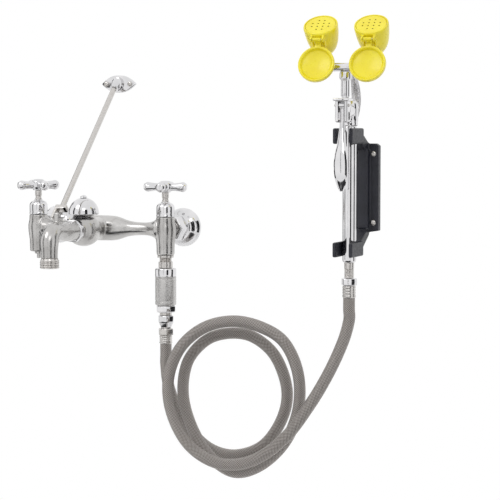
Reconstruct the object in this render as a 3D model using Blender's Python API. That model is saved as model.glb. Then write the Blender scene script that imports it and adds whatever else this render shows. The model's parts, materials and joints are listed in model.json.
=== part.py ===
"""Wall-mounted emergency eyewash: service faucet, check valve, hose and a twin-head handset.

Metres, +Z up. The origin is on the wall, midway between the two inlets. The front faces -Y.
"""
import math

import bmesh
import bpy
from mathutils import Matrix, Vector
from mathutils.geometry import interpolate_bezier

# Driving dimensions
GAP = 0.0003                 # clearance between pieces that touch
SIDES = 18                   # sides of a large turned piece
FEW = 10                     # sides of a small turned piece
INLET_X = 0.2032 / 2         # half of the 8 inch inlet spacing
VALVE_Y = -0.060             # valve axes in front of the wall
GLOBE_Y = -0.112             # vacuum breaker axis
OUTLET_Y = -0.210            # spout outlet axis
OUTLET_Z = -0.033            # lower end of the spout's leg
DOME_SEAT = 0.024            # top of the globe's collar
HANDLE_Z = 0.052             # underside of the cross handles
BRACE_Z = 0.205              # wall flange of the brace
STACK_TOP = -0.0363          # underside of the right valve
HANDSET_X = 0.376            # axis of the handset tube
HANDSET_Y = -0.062
CLIP_X = -0.003              # clips off the middle of the wall bracket
HANDSET_TURN = 6             # degrees the handset is turned in its clips
HEAD_TILT = 36               # degrees the spray faces lean forward
HEAD_X = 0.0345              # half of the spacing of the spray heads
HEAD_Z = 0.279               # centre of the spray faces
RISER_Y = -0.024             # riser and cross pipe in front of the tube
CROSS_Z = 0.2225
HINGE = Vector((0.0, -0.0275, -0.0055))     # lid hinge from the centre of its spray face
LID_REST = -20               # degrees the lids hang forward
LID_DROP = 0.031             # lid centre below its hinge
LID_RADIUS = 0.0245
LEVER_PIVOT = (0.0, -0.042, 0.172)
HOSE_RADIUS = 0.008

CHROME = ((0.80, 0.80, 0.80), 1.0, 0.12)
SATIN = ((0.66, 0.65, 0.62), 1.0, 0.32)
STEEL = ((0.60, 0.58, 0.55), 1.0, 0.30)
BRAID = ((0.36, 0.33, 0.30), 0.8, 0.45)
BLACK = ((0.02, 0.02, 0.03), 0.0, 0.50)
YELLOW = ((0.85, 0.72, 0.02), 0.0, 0.30)


def material(name, look):
    """A Principled material from a colour, a metallic value and a roughness."""
    colour, metallic, roughness = look
    made = bpy.data.materials.new(name)
    made.use_nodes = True
    shader = made.node_tree.nodes["Principled BSDF"]
    shader.inputs["Base Color"].default_value = (*colour, 1.0)
    shader.inputs["Metallic"].default_value = metallic
    shader.inputs["Roughness"].default_value = roughness
    return made


def piece(name, mesh, look=None, place=Matrix(), parent=None):
    """Turns a bmesh into a named object at a place, with its own material."""
    bmesh.ops.recalc_face_normals(mesh, faces=mesh.faces)
    data = bpy.data.meshes.new(name)
    mesh.to_mesh(data)
    mesh.free()
    data.shade_smooth()
    data.set_sharp_from_angle(angle=math.radians(35))
    made = bpy.data.objects.new(name, data)
    bpy.context.scene.collection.objects.link(made)
    made.parent = parent
    made.matrix_local = place
    if look:
        data.materials.append(material(name, look))
    return made


def boolean(target, operation, mesh, place=Matrix()):
    """Joins a shape to an object or cuts it out; the shape's place is in the object's own frame."""
    tool = piece(f"{target.name}_tool_{len(target.modifiers)}", mesh, place=place, parent=target)
    tool.display_type = 'WIRE'
    tool.hide_render = True
    modifier = target.modifiers.new(operation.title(), 'BOOLEAN')
    modifier.operation = operation
    modifier.object = tool


def join(target, mesh, place=Matrix()):
    boolean(target, 'UNION', mesh, place)


def cut(target, mesh, place=Matrix()):
    boolean(target, 'DIFFERENCE', mesh, place)


def at(x=0.0, y=0.0, z=0.0):
    return Matrix.Translation((x, y, z))


def turn(axis, degrees):
    return Matrix.Rotation(math.radians(degrees), 4, axis)


FORWARD = turn('X', 90)      # turns a piece's own +Z to the front, -Y
SIDEWAYS = turn('Y', 90)     # turns a piece's own +Z to +X


def turned(outline, sides=SIDES, phase=0.0):
    """A solid turned about Z from (radius, height) pairs; an outline off the axis makes a ring."""
    mesh = bmesh.new()
    step = 2.0 * math.pi / sides
    rings = []
    for radius, height in outline:
        angles = [phase + i * step for i in range(sides if radius else 1)]
        rings.append([mesh.verts.new((radius * math.cos(a), radius * math.sin(a), height)) for a in angles])
    pairs = list(zip(rings, rings[1:]))
    if outline[0][0]:
        pairs.append((rings[-1], rings[0]))
    for low, high in pairs:
        for i in range(sides):
            j = (i + 1) % sides
            corners = (low[i % len(low)], low[j % len(low)], high[j % len(high)], high[i % len(high)])
            mesh.faces.new(dict.fromkeys(corners))
    return mesh


def rod(radius, low, high, sides=FEW, phase=0.0):
    """A plain round or many-sided bar between two heights."""
    return turned([(0, low), (radius, low), (radius, high), (0, high)], sides, phase)


def ring(outer, inner, low, high, sides=SIDES):
    return turned([(outer, low), (outer, high), (inner, high), (inner, low)], sides)


def arc(radius, height, start, end, count, centre=0.0):
    """(radius, height) pairs on a round stretch, by angles above the horizontal."""
    angles = [math.radians(start + (end - start) * i / count) for i in range(count + 1)]
    return [(centre + radius * math.cos(a), height + radius * math.sin(a)) for a in angles]


def box(size, centre=(0, 0, 0), bevel=0.0):
    """A box with bevelled edges."""
    mesh = bmesh.new()
    bmesh.ops.create_cube(mesh, size=1.0, matrix=at(*centre) @ Matrix.Diagonal((*size, 1.0)))
    if bevel:
        bmesh.ops.bevel(mesh, geom=mesh.edges, offset=bevel, segments=1, affect='EDGES')
    return mesh


def lofted(sections):
    """A closed solid through equal loops of points."""
    mesh = bmesh.new()
    loops = [[mesh.verts.new(point) for point in section] for section in sections]
    for low, high in zip(loops, loops[1:]):
        for i in range(len(low)):
            j = (i + 1) % len(low)
            mesh.faces.new((low[i], low[j], high[j], high[i]))
    mesh.faces.new(loops[0])
    mesh.faces.new(loops[-1])
    return mesh


def swept(points, radii, sides=FEW, flat=1.0):
    """A round or flattened bar along a path in one plane that holds X or Y."""
    points = [Vector(p) for p in points]
    sections = []
    across = (points[-1] - points[0]).cross(points[len(points) // 2] - points[0])
    across = across.normalized() if across.length > 1e-9 else Vector((1, 0, 0))
    for i, (point, radius) in enumerate(zip(points, radii)):
        along = (points[min(i + 1, len(points) - 1)] - points[max(i - 1, 0)]).normalized()
        up = along.cross(across).normalized()
        angles = [2 * math.pi * k / sides for k in range(sides)]
        sections.append([point + radius * (math.cos(a) * across + flat * math.sin(a) * up) for a in angles])
    return lofted(sections)


def smooth_route(points, step):
    """Evenly spaced points on a smooth curve through a route's own points."""
    route = [Vector(p) for p in points]
    slopes = [(route[min(i + 1, len(route) - 1)] - route[max(i - 1, 0)]) / 6 for i in range(len(route))]
    fine = [route[0]]
    for i in range(len(route) - 1):
        fine += interpolate_bezier(route[i], route[i] + slopes[i], route[i + 1] - slopes[i + 1], route[i + 1], 24)[1:]
    total = sum((b - a).length for a, b in zip(fine, fine[1:]))
    spacing = total / round(total / step)
    even, walked = [fine[0]], 0.0
    for a, b in zip(fine, fine[1:]):
        walked += (b - a).length
        if walked >= spacing - 1e-6:
            even.append(b)
            walked -= spacing
    if (even[-1] - fine[-1]).length > step / 3:
        even.append(fine[-1])
    even[-1] = fine[-1]
    return even


# Faucet

def faucet_body():
    """One casting: two valve barrels, the arms between them, the globe and the two inlet tails."""
    half = [(0.015, 0.090), (0.010, 0.078), (0.009, 0.066), (0.011, 0.045), (0.0175, 0.022), (0.018, 0.0)]
    arms = [(0, -0.098), (0.012, -0.098)] + [(r, -h) for r, h in half] + [(r, h) for r, h in reversed(half[:-1])]
    body = piece("faucet_body", turned(arms + [(0.012, 0.098), (0, 0.098)]), SATIN, at(0, VALVE_Y) @ SIDEWAYS)
    upright = SIDEWAYS.inverted()
    barrel = [(0, -0.036), (0.0125, -0.036), (0.013, -0.020), (0.0150, 0.0012), (0.013, 0.0172), (0, 0.0172)]
    for x in (-INLET_X, INLET_X):
        join(body, turned(barrel, SIDES, 0.05), upright @ at(x))
        join(body, rod(0.0111, -0.0163, -0.004, 16, 0.07), upright @ at(x) @ FORWARD)
    reach = VALVE_Y - GLOBE_Y
    neck = [(0, 0), (0.016, 0.001), (0.016, 0.028), (0.022, 0.040), (0.023, reach), (0.021, 0.064),
            (0.013, 0.074), (0.013, 0.078), (0, 0.078)]
    join(body, turned(neck, SIDES, 0.11), upright @ FORWARD)
    collar = [(0, 0.002), (0.0145, 0.003), (0.0145, DOME_SEAT), (0, DOME_SEAT)]
    join(body, turned(collar, 16, 0.03), upright @ at(0, -reach))
    join(body, rod(0.0034, 0.0180, DOME_SEAT + 0.0077), upright @ at(0, -reach))
    return body


def vacuum_breaker():
    """The float, its domed cover and the screw that holds the cover down."""
    place = at(0, GLOBE_Y, DOME_SEAT)
    floater = [(0.011, 0.0008), (0.011, 0.0033), (0.005, 0.0033), (0.005, 0.0008)]
    piece("vacuum_breaker_float", turned(floater, FEW), BLACK, place)
    dome = [(0.0215, -0.0025)] + arc(0.0215, -0.0005, 8, 72, 5)
    dome += [(0.0035, 0.0205), (0.0035, 0.0175)] + arc(0.0195, -0.0025, 75, 8, 4) + [(0.0195, -0.0025)]
    piece("vacuum_breaker_dome", turned(dome), CHROME, place)
    screw = [(0, 0.0080), (0.0032, 0.0080), (0.0032, 0.0208), (0.0055, 0.0208), (0.005, 0.0235), (0, 0.0245)]
    piece("dome_screw", turned(screw, FEW), CHROME, place)


def spout():
    """The coupling ring, the tapered spout with its elbow and lug, and the threaded outlet."""
    ring_place = at(0, VALVE_Y) @ FORWARD
    coupling = rod(0.0162, 0.0783, 0.0870, 8, math.pi / 8)
    piece("spout_coupling_ring", coupling, CHROME, ring_place)
    start = VALVE_Y - 0.0873
    bend = 0.016
    path = [(0, start, 0), (0, start - 0.02, 0), (0, OUTLET_Y + bend + 0.012, 0.002)]
    turns = [math.radians(a) for a in (10, 35, 60, 85)]
    path += [(0, OUTLET_Y + bend - bend * math.sin(a), 0.002 - bend + bend * math.cos(a)) for a in turns]
    path += [(0, OUTLET_Y, -0.021), (0, OUTLET_Y, OUTLET_Z)]
    radii = [0.0138, 0.013, 0.012, 0.0125, 0.013, 0.013, 0.0122, 0.0113, 0.0113]
    body = piece("spout", swept(path, radii, 16), SATIN)
    lug_y = OUTLET_Y + 0.025
    join(body, box((0.008, 0.014, 0.022), (0, lug_y, 0.0165), 0.0015))
    cut(body, rod(0.0027, -0.02, 0.02, 8), at(0, lug_y, 0.022) @ SIDEWAYS)
    cut(body, rod(0.0077, -0.01, 0.025, FEW), at(0, OUTLET_Y, OUTLET_Z))
    nipple = [(0.0133, -0.0143), (0.0133, -0.0023), (0.0118, -GAP), (0.0075, -GAP), (0.0105, -0.0143)]
    piece("outlet_nipple", turned(nipple), STEEL, at(0, OUTLET_Y, OUTLET_Z))


def brace():
    """The wall brace: forked rod on a pin at the spout's lug, a socket and a flange with two screws."""
    pin = Vector((0, OUTLET_Y + 0.025, 0.022))
    head = Vector((0, -0.0185, BRACE_Z - 0.0075))
    along = (head - pin).normalized()
    right = Vector((1, 0, 0))
    place = Matrix.Translation(pin) @ Matrix((right, along.cross(right), along)).transposed().to_4x4()
    length = (head - pin).length
    bar = piece("brace_rod", rod(0.0038, 0.012, length), STEEL, place)
    join(bar, box((0.0175, 0.010, 0.007), (0, 0, 0.0145), 0.001))
    for side in (-1, 1):
        join(bar, box((0.0040, 0.0098, 0.019), (side * 0.0065, 0, 0.0045), 0.001))
        cut(bar, rod(0.0027, -0.02, 0.02, 8), SIDEWAYS)
    piece("brace_pin", rod(0.0023, -0.0110, 0.0110, 8), CHROME, Matrix.Translation(pin) @ SIDEWAYS)
    outline = [(0.0275 * math.cos(a) * (1 - 0.18 * abs(math.sin(2 * a))), 0.0125 * math.sin(a))
               for a in (2 * math.pi * i / 24 for i in range(24))]
    flange = lofted([[Vector((x, y, z)) for x, y in outline] for z in (0.0, 0.0045)])
    plate_place = at(0, 0, BRACE_Z) @ FORWARD
    plate = piece("brace_flange", flange, CHROME, plate_place)
    join(plate, turned([(0, 0.001), (0.0105, 0.002), (0.0080, 0.011), (0, 0.0125)], 16))
    join(plate, rod(0.0062, length + GAP, length + 0.016), plate_place.inverted() @ place)
    for name, x in (("brace_screw_left", -0.019), ("brace_screw_right", 0.019)):
        head_outline = [(0, 0.0048), (0.0038, 0.0048), (0.0030, 0.0068), (0, 0.0073)]
        piece(name, turned(head_outline, FEW), STEEL, at(x, 0, BRACE_Z) @ FORWARD)


def inlets():
    """Each inlet's wall flange, shank and union nut, from the wall to the valve."""
    for side, x in (("left", -INLET_X), ("right", INLET_X)):
        place = at(x) @ FORWARD
        bell = [(0.0275, 0.0), (0.0275, 0.003), (0.025, 0.008), (0.017, 0.014), (0.0155, 0.020), (0.0113, 0.020),
                (0.0113, 0.0)]
        piece(f"{side}_escutcheon", turned(bell), CHROME, place)
        piece(f"{side}_inlet_shank", ring(0.0108, 0.0080, 0.0, 0.0415, 16), STEEL, place)
        nut = turned([(0.0190, 0.022), (0.0190, 0.033), (0.0170, 0.0415), (0.0128, 0.0415), (0.0128, 0.022)], 6)
        piece(f"{side}_union_nut", nut, CHROME, place)


def valve_tops():
    """Bonnets, stems and four-arm cross handles."""
    for side, x, spin in (("left", -INLET_X, 47), ("right", INLET_X, 7)):
        place = at(x, VALVE_Y)
        bonnet = [(0.0130, 0.0175), (0.0130, 0.031), (0.0115, 0.0365), (0.0075, 0.039), (0.0053, 0.039),
                  (0.0053, 0.0175)]
        piece(f"{side}_bonnet", turned(bonnet), CHROME, place)
        stem = [(0, 0.018), (0.0049, 0.018), (0.0049, 0.0517), (0, 0.0517)]
        piece(f"{side}_stem", turned(stem, FEW), STEEL, place)
        hub = [(0, 0.0), (0.0075, 0.0), (0.0095, 0.004), (0.0105, 0.012), (0.0085, 0.0150), (0, 0.0165)]
        handle = piece(f"{side}_handle", turned(hub, 16), CHROME, at(x, VALVE_Y, HANDLE_Z) @ turn('Z', spin))
        arm = [(0, 0), (0.0056, 0.001), (0.0054, 0.014), (0.0068, 0.024), (0.0062, 0.0290), (0, 0.0312)]
        for quarter in range(4):
            join(handle, turned(arm, 8), at(0, 0, 0.0075) @ turn('Z', 90 * quarter + 3) @ SIDEWAYS)
    plug = [(0, -0.046), (0.003, -0.046), (0.003, -0.0400), (0.006, -0.0390), (0.006, -0.0363), (0, -0.0363)]
    piece("left_drain_plug", turned(plug, FEW), SATIN, at(-INLET_X, VALVE_Y))


# Check valve and hose

def check_valve_stack():
    """From the right valve's outlet down to the hose: adapter, check valve, nuts and ferrule."""
    place = at(INLET_X, VALVE_Y)

    def part(name, outline, look, sides=SIDES):
        piece(name, turned(outline, sides), look, place)

    part("outlet_adapter", [(0, -0.0540), (0.010, -0.0540), (0.010, -0.0450), (0.008, -0.0445), (0.008, -0.0398),
                            (0.0115, -0.0395), (0.0115, STACK_TOP), (0, STACK_TOP)], STEEL)
    part("check_valve_cap", [(0, -0.0660), (0.0150, -0.0660), (0.0150, -0.0560), (0.0135, -0.0543), (0, -0.0543)],
         CHROME)
    part("check_valve_body", [(0, -0.1065), (0.0140, -0.1065), (0.0148, -0.105), (0.0148, -0.0663), (0, -0.0663)],
         STEEL)
    part("check_valve_nut", [(0, -0.1165), (0.0135, -0.1165), (0.0147, -0.115), (0.0147, -0.1082),
                             (0.0135, -0.1068), (0, -0.1068)], CHROME, 6)
    part("hose_nipple", [(0, -0.1208), (0.0085, -0.1208), (0.0085, -0.1168), (0, -0.1168)], STEEL, FEW)
    part("hose_swivel_nut", [(0, -0.1392), (0.0080, -0.1392), (0.0115, -0.1305), (0.0118, -0.1211), (0, -0.1211)],
         CHROME, 6)
    part("faucet_end_hex", [(0, -0.1490), (0.0112, -0.1490), (0.0112, -0.1395), (0, -0.1395)], STEEL, 6)
    part("faucet_end_ferrule", [(0, -0.1610), (0.0088, -0.1610), (0.0092, -0.1550), (0.0088, -0.1493),
                                (0, -0.1493)], STEEL, 16)


HOSE_START = (INLET_X, VALVE_Y, -0.1613)
HOSE_END = (HANDSET_X, HANDSET_Y, -0.0863)
HOSE_ROUTE = [
    HOSE_START, (0.1016, -0.060, -0.176), (0.1016, -0.060, -0.192), (0.107, -0.060, -0.225),
    (0.128, -0.060, -0.268),
    (0.165, -0.061, -0.303), (0.207, -0.062, -0.312), (0.250, -0.062, -0.296), (0.279, -0.063, -0.257),
    (0.287, -0.064, -0.215), (0.270, -0.065, -0.170), (0.238, -0.066, -0.145), (0.203, -0.068, -0.141),
    (0.169, -0.071, -0.152), (0.143, -0.075, -0.182), (0.137, -0.079, -0.225), (0.150, -0.083, -0.268),
    (0.177, -0.085, -0.308), (0.215, -0.084, -0.331), (0.254, -0.082, -0.320), (0.290, -0.081, -0.286),
    (0.310, -0.081, -0.240), (0.310, -0.081, -0.190), (0.290, -0.082, -0.148), (0.255, -0.084, -0.128),
    (0.214, -0.086, -0.122), (0.173, -0.090, -0.133), (0.140, -0.095, -0.162), (0.124, -0.099, -0.205),
    (0.131, -0.103, -0.252), (0.160, -0.107, -0.295), (0.206, -0.109, -0.316), (0.255, -0.108, -0.308),
    (0.299, -0.105, -0.276), (0.332, -0.100, -0.232), (0.355, -0.086, -0.188), (0.370, -0.070, -0.146),
    (0.376, -0.062, -0.117), (0.376, -0.062, -0.101), HOSE_END]


def supply_hose():
    """The braided hose: out of the ferrule, two turns round a loop and up to the handset."""
    points = smooth_route(HOSE_ROUTE, 2.9 * HOSE_RADIUS)
    data = bpy.data.curves.new("supply_hose", 'CURVE')
    data.dimensions = '3D'
    data.bevel_depth = HOSE_RADIUS
    data.bevel_resolution = 2
    data.use_fill_caps = True
    spline = data.splines.new('POLY')
    spline.points.add(len(points) - 1)
    for spot, point in zip(spline.points, points):
        spot.co = (*point, 1.0)
    hose = bpy.data.objects.new("supply_hose", data)
    bpy.context.scene.collection.objects.link(hose)
    data.materials.append(material("supply_hose", BRAID))


# Handset, in the frame of its tube axis

def handset_frame():
    frame = bpy.data.objects.new("handset_axis", None)
    bpy.context.scene.collection.objects.link(frame)
    frame.matrix_local = at(HANDSET_X, HANDSET_Y) @ turn('Z', HANDSET_TURN)
    return frame


def handset_tube(frame):
    """The handle tube with its hose end below."""
    def part(name, outline, look, sides=16):
        piece(name, turned(outline, sides), look, parent=frame)

    part("handset_end_ferrule", [(0, -0.0860), (0.0085, -0.0860), (0.0088, -0.0800), (0.0085, -0.0693),
                                 (0, -0.0693)], STEEL)
    part("handset_hose_nut", [(0, -0.0690), (0.0100, -0.0690), (0.0110, -0.0675), (0.0110, -0.0610),
                              (0.0100, -0.0593), (0, -0.0593)], CHROME, 6)
    part("tube_adapter", [(0, -0.0590), (0.0067, -0.0590), (0.0067, -0.0383), (0, -0.0383)], STEEL, FEW)
    part("handle_tube", [(0, -0.0380), (0.0080, -0.0380), (0.0095, -0.0350), (0.0095, 0.1447), (0, 0.1447)],
         CHROME, SIDES)


def squeeze_valve(frame):
    """The valve on top of the tube, its plunger, lever, pin and the hook behind it."""
    outline = [(0, 0.145), (0.0105, 0.145), (0.0115, 0.150), (0.0115, 0.170), (0.0095, 0.178), (0, 0.180)]
    valve = piece("squeeze_valve_body", turned(outline), CHROME, parent=frame)
    pivot_y, pivot_z = LEVER_PIVOT[1:]
    boss = [(0, 0.0), (0.0095, 0.001), (0.0095, 0.030), (0.0080, 0.0315), (0, 0.0320)]
    join(valve, turned(boss, 16), at(0, 0, 0.165) @ FORWARD)
    join(valve, box((0.017, 0.020, 0.029), (0, -0.038, 0.1640), 0.0015))
    join(valve, box((0.022, 0.024, 0.004), (0, -0.038, 0.1795), 0.001))
    cut(valve, box((0.0086, 0.030, 0.0425), (0, -0.0500, 0.1560)))
    cut(valve, box((0.030, 0.009, 0.011), (0, -0.0385, 0.1580)))
    cut(valve, rod(0.0035, 0.016, 0.040, FEW), at(0, 0, 0.1580) @ FORWARD)
    cut(valve, rod(0.0023, -0.02, 0.02, 8), at(0, pivot_y, pivot_z) @ SIDEWAYS)
    join(valve, rod(0.0050, 0.170, 0.1835, FEW), at(0, RISER_Y))
    plunger = [(0, 0.0205), (0.0031, 0.0205), (0.0031, 0.0380), (0.0026, 0.0388), (0, 0.0388)]
    piece("valve_plunger", turned(plunger, FEW), STEEL, at(0, 0, 0.1580) @ FORWARD, frame)
    piece("lever_pivot_pin", rod(0.0019, -0.0105, 0.0105, 8), STEEL, at(*LEVER_PIVOT) @ SIDEWAYS, frame)
    lever(frame)
    hook_path = [(0, 0.010, 0.2165), (0, 0.022, 0.209), (0, 0.032, 0.197), (0, 0.037, 0.182), (0, 0.036, 0.167),
                 (0, 0.031, 0.155), (0, 0.025, 0.147)]
    radii = [0.0025, 0.0045, 0.0060, 0.0065, 0.0055, 0.0040, 0.0025]
    hook = piece("rear_hook", swept(hook_path, radii, 8, 0.7), CHROME, parent=frame)
    join(hook, box((0.006, 0.022, 0.008), (0, 0.0240, 0.172), 0.001))


def lever(frame):
    """A pressed channel that bows away from the tube, hung on the pivot pin."""
    stations = [(0.0045, 0.0, 0.0036), (-0.0228, 0.0, 0.0036), (-0.036, -0.002, 0.0045), (-0.050, -0.005, 0.0060),
                (-0.064, -0.008, 0.0085), (-0.080, -0.009, 0.0097), (-0.095, -0.007, 0.0088),
                (-0.106, -0.004, 0.0062), (-0.113, -0.002, 0.0025)]
    wall = 0.0013
    sections = []
    for drop, bow, half in stations:
        deep = min(half, 0.0045)
        outer = [(-half, bow + deep), (-half * 0.75, bow), (half * 0.75, bow), (half, bow + deep)]
        inner = [(half - wall, bow + deep), (half * 0.75 - wall / 2, bow + wall),
                 (-half * 0.75 + wall / 2, bow + wall), (-half + wall, bow + deep)]
        sections.append([Vector((x, y - 0.0015, drop)) for x, y in outer + inner])
    made = piece("squeeze_lever", lofted(sections), CHROME, at(*LEVER_PIVOT), frame)
    join(made, rod(0.0042, -0.0034, 0.0034, FEW), SIDEWAYS)
    cut(made, rod(0.0023, -0.012, 0.012, 8), SIDEWAYS)


def spray_heads(frame):
    """The riser, the cross pipe and two tilted cups, each with a perforated face and a hinged lid."""
    riser = [(0, 0.1838), (0.0062, 0.1838), (0.0062, 0.2060), (0.0080, 0.2075), (0.0080, 0.2164), (0, 0.2164)]
    piece("riser", turned(riser, FEW), CHROME, at(0, RISER_Y), frame)
    cross_place = at(0, RISER_Y, CROSS_Z) @ SIDEWAYS
    cross = piece("cross_pipe", rod(0.0058, -0.0430, 0.0430), CHROME, cross_place, frame)
    for side, sign in (("left", -1), ("right", 1)):
        x = sign * HEAD_X
        join(cross, rod(0.0052, 0.0, 0.0142, FEW), cross_place.inverted() @ at(x, RISER_Y, CROSS_Z))
        spray_head(frame, side, at(x, RISER_Y, HEAD_Z) @ turn('X', HEAD_TILT))


def spray_head(frame, side, place):
    """One cup on its neck, the perforated face, and the lid on its pin."""
    cup = [(0, -0.042), (0.0120, -0.042), (0.0165, -0.036), (0.0218, -0.018), (0.0232, -0.003), (0.0225, 0.0),
           (0.0205, 0.0), (0.0205, -0.003), (0, -0.003)]
    head = piece(f"{side}_spray_head", turned(cup), YELLOW, place, frame)
    neck = place.inverted() @ at(place.translation.x, RISER_Y, CROSS_Z)
    join(head, rod(0.0085, 0.0145, 0.034, FEW), neck)
    hinge = Matrix.Translation(HINGE) @ SIDEWAYS
    for ear in (-0.0078, 0.0078):
        join(head, box((0.003, 0.0100, 0.0060), (ear, HINGE.y + 0.0025, HINGE.z), 0.0006))
    cut(head, rod(0.0015, -0.0120, 0.0120, 8), hinge)
    disc = [(0, -0.0027), (0.0202, -0.0027), (0.0202, -0.0006), (0, -0.0006)]
    plate = piece(f"{side}_spray_face", turned(disc), YELLOW, place, frame)
    for row, count in ((0.0105, 2), (0.0035, 4), (-0.0035, 4), (-0.0105, 2)):
        for k in range(count):
            cut(plate, rod(0.0013, -0.01, 0.01, 6), at((k - (count - 1) / 2) * 0.0075, row))
    piece(f"{side}_lid_pin", rod(0.0011, -0.0088, 0.0088, 8), STEEL, place @ hinge, frame)
    lid(frame, side, Matrix.Translation(place @ HINGE))


def lid(frame, side, hinge):
    """A dust lid that hangs from its pin with its inner side to the front."""
    dish = [(0, 0.0), (0.0230, 0.0), (LID_RADIUS, 0.002), (LID_RADIUS, 0.0080), (0.0215, 0.0080),
            (0.0190, 0.0035), (0, 0.0030)]
    made = piece(f"{side}_lid", turned(dish), YELLOW, hinge @ turn('X', LID_REST), frame)
    made.data.transform(at(0, 0.0145, -LID_DROP) @ FORWARD)
    join(made, box((0.008, 0.0030, 0.0080), (0, 0.0080, -0.0055), 0.0006))
    join(made, box((0.008, 0.0075, 0.0030), (0, 0.0040, -0.0012), 0.0006))
    join(made, rod(0.0026, -0.0055, 0.0055, 8), SIDEWAYS)
    cut(made, rod(0.0015, -0.02, 0.02, 8), SIDEWAYS)


# Wall bracket

def wall_bracket():
    """The back plate with two necks, each ending in a clip that is open to the front."""
    plate_x = HANDSET_X - CLIP_X
    outline = [(-0.020, -0.004), (0.020, 0.002), (0.020, 0.118), (0.016, 0.121), (-0.016, 0.121), (-0.020, 0.118)]
    place = at(plate_x) @ FORWARD
    plate = piece("wall_bracket", lofted([[Vector((x, z, y)) for x, z in outline] for y in (0.0, 0.010)]), BLACK,
                  place)
    raised = box((0.015, 0.110, 0.010), (0, 0.059, 0.0135), 0.003)
    join(plate, raised)
    reach = -HANDSET_Y
    for low, high in ((0.121, 0.142), (-0.030, -0.010)):
        middle = (low + high) / 2
        near = 0.112 if middle > 0 else 0.004
        neck = [[(CLIP_X + sx * 0.008, z + sz, y) for sx, sz in ((-1, -0.008), (1, -0.008), (1, 0.008), (-1, 0.008))]
                for y, z in ((0.003, near), (reach - 0.022, middle), (reach - 0.012, middle))]
        join(plate, lofted(neck))
        clip = box((0.028, high - low, 0.048), (CLIP_X, middle, reach + 0.005), 0.002)
        join(plate, clip)
        cut(plate, rod(0.0100, -0.2, 0.2, 16), at(CLIP_X, middle, reach) @ FORWARD)
        cut(plate, box((0.0185, 0.05, 0.03), (CLIP_X, middle, reach + 0.017)))
    for level, z in (("top", 0.107), ("bottom", 0.013)):
        for side, x in (("left", -0.0152), ("right", 0.0130)):
            head = [(0, 0.0103), (0.0038, 0.0103), (0.0030, 0.0125), (0, 0.0130)]
            piece(f"bracket_screw_{level}_{side}", turned(head, FEW), STEEL, at(plate_x + x, 0, z) @ FORWARD)


def build():
    for old in list(bpy.data.objects):
        bpy.data.objects.remove(old, do_unlink=True)
    faucet_body()
    vacuum_breaker()
    spout()
    brace()
    inlets()
    valve_tops()
    check_valve_stack()
    supply_hose()
    frame = handset_frame()
    handset_tube(frame)
    squeeze_valve(frame)
    spray_heads(frame)
    wall_bracket()


build()
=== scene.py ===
"""Looks of the faucet-fed eyewash station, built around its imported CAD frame. Metres, +Z up, front at -Y."""
import json
import math

import bmesh
import bpy
from mathutils import Matrix, Vector
from mathutils.geometry import interpolate_bezier


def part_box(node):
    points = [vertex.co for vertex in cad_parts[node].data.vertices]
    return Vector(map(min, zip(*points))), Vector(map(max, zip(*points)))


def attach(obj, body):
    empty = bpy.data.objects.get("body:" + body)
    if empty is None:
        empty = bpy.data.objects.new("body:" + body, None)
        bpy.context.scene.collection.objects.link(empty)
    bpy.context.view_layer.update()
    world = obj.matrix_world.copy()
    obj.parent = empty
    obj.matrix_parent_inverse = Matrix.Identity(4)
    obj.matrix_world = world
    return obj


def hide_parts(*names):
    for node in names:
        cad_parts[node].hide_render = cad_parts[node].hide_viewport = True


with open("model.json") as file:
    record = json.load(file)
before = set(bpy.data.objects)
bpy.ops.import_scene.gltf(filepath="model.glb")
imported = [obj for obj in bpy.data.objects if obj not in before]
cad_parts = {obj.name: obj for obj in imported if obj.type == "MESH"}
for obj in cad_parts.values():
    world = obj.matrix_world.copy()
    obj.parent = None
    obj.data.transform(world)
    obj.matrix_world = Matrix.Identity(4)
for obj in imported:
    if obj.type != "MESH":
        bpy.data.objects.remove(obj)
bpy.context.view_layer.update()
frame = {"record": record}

ROUND = 64                   # sides of a turned piece
BODY_OF = {node: body for body, nodes in frame["record"]["behaviour"]["bodies"].items() for node in nodes}


def middle(node):
    """The centre of a CAD node's box."""
    low, high = (Vector(corner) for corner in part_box(node))
    return (low + high) / 2


def lowest(node):
    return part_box(node)[0][2]


def highest(node):
    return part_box(node)[1][2]


VALVE = middle("right_stem")
INLET_X = VALVE.x
VALVE_Y = VALVE.y
GLOBE_Y = middle("vacuum_breaker_float").y
OUTLET_Y = middle("outlet_nipple").y
OUTLET_Z = lowest("spout")
DOME_SEAT = lowest("vacuum_breaker_float") - 0.0008
BRACE_Z = middle("brace_flange").z
TUBE = middle("handle_tube")
CLIP_X = -0.003              # clips off the middle of the wall bracket
HANDSET_TURN = 6             # degrees, as the CAD handset sits in its clips
HEAD_TILT = 36               # degrees the spray faces lean forward
HEAD_X = 0.0345              # half of the spacing of the spray heads
HEAD_Z = 0.279               # centre of the spray faces
RISER_Y = -0.024             # riser and cross pipe in front of the tube
CROSS_Z = 0.2225             # axis of the cross pipe
HINGE = Vector((0.0, -0.0275, -0.0055))     # lid hinge from the centre of its spray face
LID_REST = -20               # degrees the lids hang forward
LID_DROP = 0.031             # lid centre below its hinge
LEVER_PIVOT = (0.0, -0.042, 0.172)
HANDLE_Z = 0.052             # underside of the cross handles
FLOOR_Z = -1.5


# Mesh helpers

def at(x=0.0, y=0.0, z=0.0):
    return Matrix.Translation((x, y, z))


def turn(axis, degrees):
    return Matrix.Rotation(math.radians(degrees), 4, axis)


FORWARD = turn('X', 90)
SIDEWAYS = turn('Y', 90)
HANDSET = at(TUBE.x, TUBE.y) @ turn('Z', HANDSET_TURN)


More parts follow.
